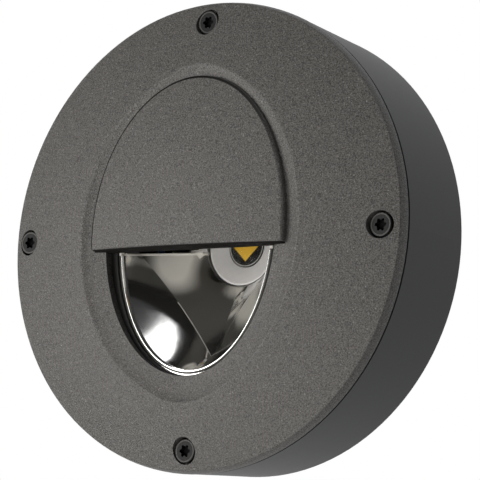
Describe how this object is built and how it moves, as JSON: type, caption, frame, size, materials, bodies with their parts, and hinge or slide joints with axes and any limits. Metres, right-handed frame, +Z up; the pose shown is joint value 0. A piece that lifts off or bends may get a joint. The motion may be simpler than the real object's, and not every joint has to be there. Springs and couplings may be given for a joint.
{
  "type": "wall downlight",
  "caption": "Round surface wall light with a domed screw-on cover, an oval dish and an eyelid hood over a half-moon window, and a mirror reflector that throws light down.",
  "frame": {"origin": "centre of the back face on the wall plane", "axes": "+Y out of the back into the wall, front towards -Y, +X right, +Z up"},
  "size_m": [0.14, 0.0452, 0.14],
  "materials": {
    "textured_paint": "fine textured powder coat, dark grey",
    "smooth_paint": "smooth satin paint, dark grey",
    "black_rubber": "matte black",
    "mirror_coat": "vacuum-metallised, mirror bright",
    "clear_pane": "clear",
    "clear_lens": "clear",
    "white_plastic": "white satin",
    "black_plastic": "matte black",
    "phosphor": "yellow phosphor, unlit",
    "white_board": "white coated aluminium board",
    "grey_pad": "grey silicone",
    "bare_aluminium": "plain",
    "plated_steel": "zinc plated",
    "brass": "tinned brass",
    "white_case": "white",
    "pale_block": "pale grey",
    "brown_wire": "brown insulation",
    "blue_wire": "blue insulation",
    "green_wire": "green insulation",
    "red_wire": "red insulation",
    "black_wire": "black insulation",
    "solder": "bright solder",
    "black_steel": "black coated steel"
  },
  "bodies": {
    "housing": {"rear_housing": "smooth_paint", "housing_gasket": "black_rubber", "wall_hole_seals": "black_rubber", "cable_grommet": "black_rubber", "heat_spreader": "bare_aluminium", "spreader_screws": "plated_steel", "reflector": "mirror_coat", "reflector_screws": "plated_steel", "window_pane": "clear_pane", "thermal_pad": "grey_pad", "led_board": "white_board", "board_screws": "plated_steel", "led_package": "black_plastic", "led_phosphor": "phosphor", "led_lens": "clear_lens", "led_holder_ring": "white_plastic", "led_driver": "white_case", "driver_screws": "plated_steel", "terminal_block": "pale_block", "terminal_clamp_screws": "plated_steel", "terminal_fix_screws": "plated_steel", "earth_lug": "brass", "earth_screw": "plated_steel", "lead_live": "brown_wire", "lead_neutral": "blue_wire", "lead_earth": "green_wire", "led_lead_plus": "red_wire", "led_lead_minus": "black_wire", "solder_pads": "solder"},
    "cover": {"front_cover": "textured_paint", "window_gasket": "black_rubber", "screw_washers": "black_rubber"},
    "screw_top": {"cover_screw_top": "black_steel"},
    "screw_right": {"cover_screw_right": "black_steel"},
    "screw_bottom": {"cover_screw_bottom": "black_steel"},
    "screw_left": {"cover_screw_left": "black_steel"}
  },
  "joints": [
    {"name": "cover_lift", "type": "slide", "parent": "housing", "child": "cover", "axis": [0, -1, 0], "range_m": [0, 0.06]},
    {"name": "screw_top_turn", "type": "hinge", "parent": "cover", "child": "screw_top", "pos_m": [0, -0.0345, 0.0635], "axis": [0, -1, 0], "continuous": true},
    {"name": "screw_right_turn", "type": "hinge", "parent": "cover", "child": "screw_right", "pos_m": [0.0635, -0.0345, 0], "axis": [0, -1, 0], "continuous": true},
    {"name": "screw_bottom_turn", "type": "hinge", "parent": "cover", "child": "screw_bottom", "pos_m": [0, -0.0345, -0.0635], "axis": [0, -1, 0], "continuous": true},
    {"name": "screw_left_turn", "type": "hinge", "parent": "cover", "child": "screw_left", "pos_m": [-0.0635, -0.0345, 0], "axis": [0, -1, 0], "continuous": true}
  ]
}
